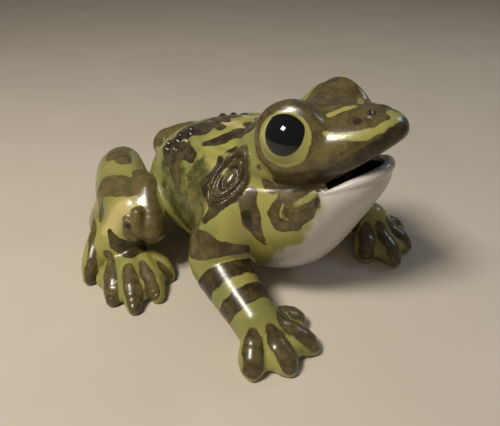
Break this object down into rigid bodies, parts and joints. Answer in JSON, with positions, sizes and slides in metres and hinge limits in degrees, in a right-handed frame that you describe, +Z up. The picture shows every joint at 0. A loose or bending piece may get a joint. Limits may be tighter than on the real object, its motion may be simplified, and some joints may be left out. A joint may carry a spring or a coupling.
{
  "type": "glazed ceramic frog figure",
  "caption": "Crouching frog figure in hand-painted glazed earthenware, hollow, mouth open, that stands on its hands and hind feet.",
  "frame": {"origin": "on the table, under the middle of the figure's length and width", "axes": "+X towards the frog's left, +Y from its snout to its rear, +Z up"},
  "size_m": [0.3258, 0.3465, 0.197],
  "materials": {
    "green_glaze": "glossy hand-painted glaze, pale yellow-green with brown brush bands",
    "olive_glaze": "glossy hand-painted glaze, olive with paler bands",
    "brown_glaze": "glossy hand-painted glaze, streaky dark brown",
    "white_glaze": "glossy warm white glaze",
    "black_glaze": "very glossy black glaze with a pale green ring"
  },
  "bodies": {
    "root": {"trunk_shell": "green_glaze", "head_shell": "green_glaze", "lower_jaw": "white_glaze", "lower_lip": "white_glaze", "right_eyeball": "black_glaze", "left_eyeball": "black_glaze", "right_eyelid": "brown_glaze", "left_eyelid": "brown_glaze", "right_nostril": "brown_glaze", "left_nostril": "brown_glaze", "right_eardrum": "brown_glaze", "left_eardrum": "brown_glaze", "back_warts": "brown_glaze", "right_back_fold": "brown_glaze", "left_back_fold": "brown_glaze", "right_foreleg": "green_glaze", "left_foreleg": "green_glaze", "right_hand": "green_glaze", "left_hand": "green_glaze", "right_haunch": "olive_glaze", "left_haunch": "olive_glaze", "right_shank": "green_glaze", "left_shank": "green_glaze", "right_knee_fold": "brown_glaze", "left_knee_fold": "brown_glaze", "right_hind_foot": "green_glaze", "left_hind_foot": "green_glaze"}
  },
  "joints": []
}
